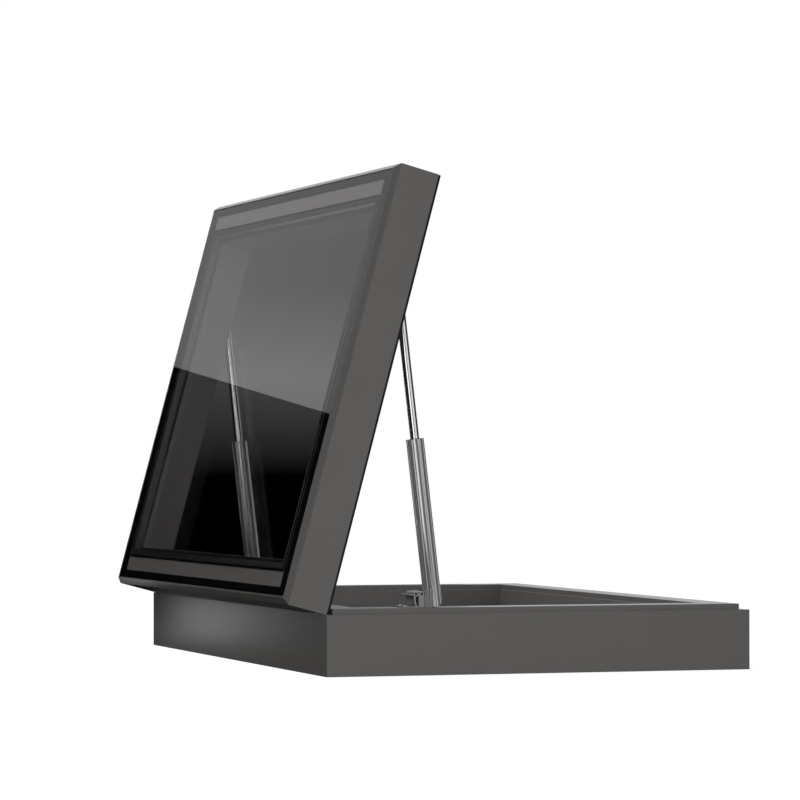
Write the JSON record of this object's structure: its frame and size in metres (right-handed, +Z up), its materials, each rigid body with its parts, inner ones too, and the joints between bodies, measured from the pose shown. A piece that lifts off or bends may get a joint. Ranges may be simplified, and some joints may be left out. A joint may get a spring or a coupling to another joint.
{
  "type": "roof skylight",
  "caption": "Flat-roof skylight with a dark aluminium kerb frame and a hinged, tinted double-glazed sash that stands open on telescopic lift struts.",
  "frame": {"origin": "centre of the base frame on its underside, which is also the centre of the fixing screw pattern", "axes": "+X from the hinge side to the opening side, +Y along the hinge, +Z up, out of the roof"},
  "size_m": [1.0959, 1.5, 1.1249],
  "materials": {
    "frame_coat": "dark grey powder coat on extruded aluminium",
    "tinted_glass": "grey tinted float glass",
    "clear_glass": "clear float glass",
    "black_rubber": "black EPDM",
    "black_sealant": "black silicone",
    "spacer_aluminium": "dark anodised",
    "bracket_aluminium": "mill finish extrusion",
    "strut_metal": "polished extrusion",
    "chromed_steel": "polished",
    "steel": "zinc plated"
  },
  "bodies": {
    "base": {"base_rail_hinge": "frame_coat", "base_rail_opening": "frame_coat", "base_rail_right": "frame_coat", "base_rail_left": "frame_coat", "base_corner_cleats": "bracket_aluminium", "base_hinge_screws": "steel", "strut_bracket_screws": "steel", "base_hinge_leaf_right": "steel", "base_hinge_leaf_middle": "steel", "base_hinge_leaf_left": "steel", "hinge_pin_right": "steel", "hinge_pin_middle": "steel", "hinge_pin_left": "steel", "strut_bracket_right": "bracket_aluminium", "strut_bracket_left": "bracket_aluminium", "strut_lower_pin_right": "steel", "strut_lower_pin_left": "steel"},
    "sash": {"sash_rail_hinge": "frame_coat", "sash_rail_opening": "frame_coat", "sash_rail_right": "frame_coat", "sash_rail_left": "frame_coat", "sash_corner_cleats": "bracket_aluminium", "sash_hinge_screws": "steel", "upper_bracket_screws": "steel", "outer_pane": "tinted_glass", "inner_pane": "clear_glass", "pane_bond": "black_sealant", "edge_sealant": "black_sealant", "spacer_bar": "spacer_aluminium", "glazing_gasket": "black_rubber", "sash_seal": "black_rubber", "sash_hinge_leaf_right": "steel", "sash_hinge_leaf_middle": "steel", "sash_hinge_leaf_left": "steel", "strut_upper_bracket_right": "bracket_aluminium", "strut_upper_bracket_left": "bracket_aluminium"},
    "right_strut_tube": {"strut_tube_right": "strut_metal", "strut_foot_plug_right": "strut_metal", "strut_gland_right": "strut_metal", "strut_wiper_right": "black_rubber"},
    "right_strut_rod": {"strut_rod_right": "chromed_steel", "strut_piston_right": "steel", "strut_rod_eye_right": "chromed_steel", "strut_upper_stud_right": "steel"},
    "left_strut_tube": {"strut_tube_left": "strut_metal", "strut_foot_plug_left": "strut_metal", "strut_gland_left": "strut_metal", "strut_wiper_left": "black_rubber"},
    "left_strut_rod": {"strut_rod_left": "chromed_steel", "strut_piston_left": "steel", "strut_rod_eye_left": "chromed_steel", "strut_upper_stud_left": "steel"}
  },
  "joints": [
    {"name": "sash_hinge", "type": "hinge", "parent": "base", "child": "sash", "pos_m": [-0.497, 0, 0.138], "axis": [0, -1, 0], "range_deg": [-75, 0]},
    {"name": "right_strut_pivot", "type": "hinge", "parent": "base", "child": "right_strut_tube", "pos_m": [-0.2395, -0.697, 0.169], "axis": [0, -1, 0], "range_deg": [-96.66, 0]},
    {"name": "right_strut_slide", "type": "slide", "parent": "right_strut_tube", "child": "right_strut_rod", "axis": [-0.1158, 0, 0.9933], "range_m": [-0.2129, 0]},
    {"name": "left_strut_pivot", "type": "hinge", "parent": "base", "child": "left_strut_tube", "pos_m": [-0.2395, 0.697, 0.169], "axis": [0, -1, 0], "range_deg": [-96.66, 0]},
    {"name": "left_strut_slide", "type": "slide", "parent": "left_strut_tube", "child": "left_strut_rod", "axis": [-0.1158, 0, 0.9933], "range_m": [-0.2129, 0]}
  ],
  "couplings": [
    {"joint": "right_strut_pivot", "follows": "sash_hinge", "ratio": 1.2887},
    {"joint": "right_strut_slide", "follows": "sash_hinge", "m_per_rad": 0.16262},
    {"joint": "left_strut_pivot", "follows": "sash_hinge", "ratio": 1.2887},
    {"joint": "left_strut_slide", "follows": "sash_hinge", "m_per_rad": 0.16262}
  ]
}
